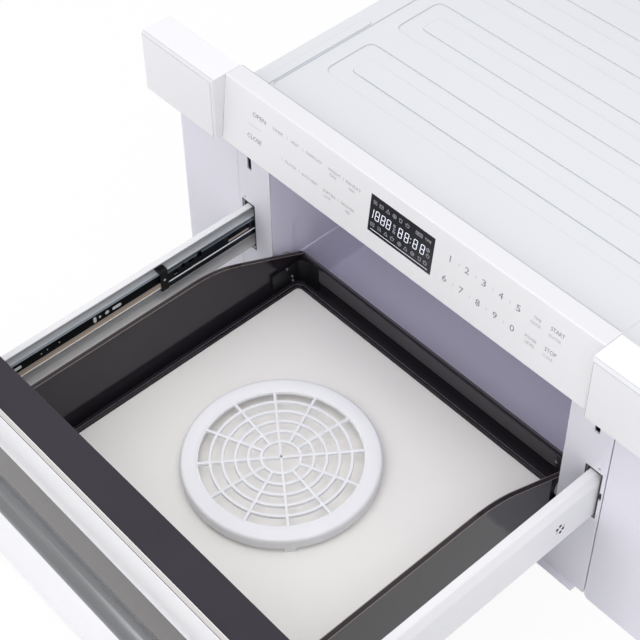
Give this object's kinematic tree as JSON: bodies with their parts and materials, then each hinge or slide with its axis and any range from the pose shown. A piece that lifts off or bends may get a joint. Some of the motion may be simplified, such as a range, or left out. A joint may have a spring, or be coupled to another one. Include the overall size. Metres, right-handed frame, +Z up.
{
  "type": "microwave drawer",
  "caption": "Built-in microwave drawer, drawer out: white front with window and bar handle, black pan with ceramic floor and round rack, telescopic slides, top control panel.",
  "frame": {"origin": "middle of the overall width and depth, with the drawer fully out, at the level of the shelf that the feet stand on", "axes": "+Z up, the front and the drawer face -Y, +X to the right for a person facing the control panel"},
  "size_m": [0.759, 1.0492, 0.407],
  "materials": {
    "white_enamel": "smooth white enamel, semi-gloss",
    "front_paint": "pale lavender-white paint, satin",
    "liner_enamel": "pale lavender enamel, semi-gloss",
    "cover_steel": "pale grey-white coated sheet, semi-gloss",
    "zinc_plate": "zinc-plated sheet, satin",
    "dark_steel": "dark plated steel, satin",
    "black_enamel": "glossy black enamel",
    "black_plastic": "black moulded plastic, matt",
    "grey_plastic": "grey moulded plastic, matt",
    "white_plastic": "white moulded plastic, satin",
    "ear_plastic": "white moulded plastic, semi-gloss",
    "ceramic_plate": "pale warm grey ceramic, semi-gloss",
    "dark_glass": "dark tinted glass, glossy",
    "display_pane": "charcoal display pane, glossy",
    "bright_bar": "polished aluminium bar",
    "post_steel": "plain steel, polished",
    "circuit_board": "green board with components",
    "copper_steel": "copper-coloured plated steel",
    "plain_aluminium": "plain aluminium sheet, satin"
  },
  "bodies": {
    "cabinet": {"base_tray": "zinc_plate", "side_panel_left": "zinc_plate", "side_panel_right": "zinc_plate", "back_panel": "zinc_plate", "supply_gland": "black_plastic", "top_cover": "cover_steel", "front_frame": "front_paint", "side_filler_left": "front_paint", "side_filler_right": "front_paint", "cavity_liner": "liner_enamel", "panel_end_left": "ear_plastic", "panel_end_right": "ear_plastic", "control_fascia": "ear_plastic", "display_window": "display_pane", "control_board": "circuit_board", "panel_support": "zinc_plate", "slide_carrier_left": "zinc_plate", "slide_carrier_right": "zinc_plate", "slide_inner_left": "zinc_plate", "slide_inner_right": "zinc_plate", "drive_motor": "dark_steel", "latch_switch_left": "black_plastic", "latch_switch_right": "black_plastic", "waveguide": "plain_aluminium", "magnetron": "copper_steel", "stirrer_shield": "white_plastic", "stirrer_motor": "dark_steel", "power_transformer": "dark_steel", "high_voltage_capacitor": "plain_aluminium", "blower_shroud": "black_plastic", "blower_motor": "dark_steel"},
    "drawer": {"slide_outer_left": "zinc_plate", "slide_outer_right": "zinc_plate", "carrier_rail_left": "white_enamel", "carrier_rail_right": "white_enamel", "drive_rack": "black_plastic", "latch_tongue_left": "grey_plastic", "latch_tongue_right": "grey_plastic", "drawer_pan": "black_enamel", "ceramic_floor": "ceramic_plate", "corner_bracket_left": "black_plastic", "corner_bracket_right": "black_plastic", "guide_pad_left": "grey_plastic", "guide_pad_right": "grey_plastic", "door_body": "black_enamel", "inner_pane": "dark_glass", "drawer_front": "white_enamel", "window_glass": "dark_glass", "handle_bar": "bright_bar", "handle_post_left": "post_steel", "handle_post_right": "post_steel"},
    "middle_left": {"slide_middle_left": "dark_steel", "slide_cap_left": "black_plastic"},
    "middle_right": {"slide_middle_right": "dark_steel", "slide_cap_right": "black_plastic"},
    "pinion": {"drive_pinion": "white_plastic"},
    "stirrer": {"mode_stirrer": "plain_aluminium"},
    "fan": {"blower_fan": "grey_plastic"},
    "rack": {"round_rack": "white_plastic"}
  },
  "joints": [
    {"name": "drawer_slide", "type": "slide", "parent": "cabinet", "child": "drawer", "axis": [0, 1, 0], "range_m": [0, 0.383]},
    {"name": "middle_slide_left", "type": "slide", "parent": "cabinet", "child": "middle_left", "axis": [0, 1, 0], "range_m": [0, 0.1915]},
    {"name": "middle_slide_right", "type": "slide", "parent": "cabinet", "child": "middle_right", "axis": [0, 1, 0], "range_m": [0, 0.1915]},
    {"name": "pinion_spin", "type": "hinge", "parent": "cabinet", "child": "pinion", "pos_m": [0.247, -0.00455, 0.149], "axis": [0, 0, 1], "range_deg": [0, 1829]},
    {"name": "stirrer_spin", "type": "hinge", "parent": "cabinet", "child": "stirrer", "pos_m": [0, 0.18045, 0.29], "axis": [0, 0, 1], "continuous": true},
    {"name": "fan_spin", "type": "hinge", "parent": "cabinet", "child": "fan", "pos_m": [0.14, 0.45345, 0.15], "axis": [0, 1, 0], "continuous": true},
    {"name": "rack_lift", "type": "slide", "parent": "drawer", "child": "rack", "axis": [0, 0, 1], "range_m": [0, 0.3]}
  ],
  "couplings": [
    {"joint": "middle_slide_left", "follows": "drawer_slide", "ratio": 0.5},
    {"joint": "middle_slide_right", "follows": "drawer_slide", "ratio": 0.5},
    {"joint": "pinion_spin", "follows": "drawer_slide", "rad_per_m": 83.333}
  ]
}
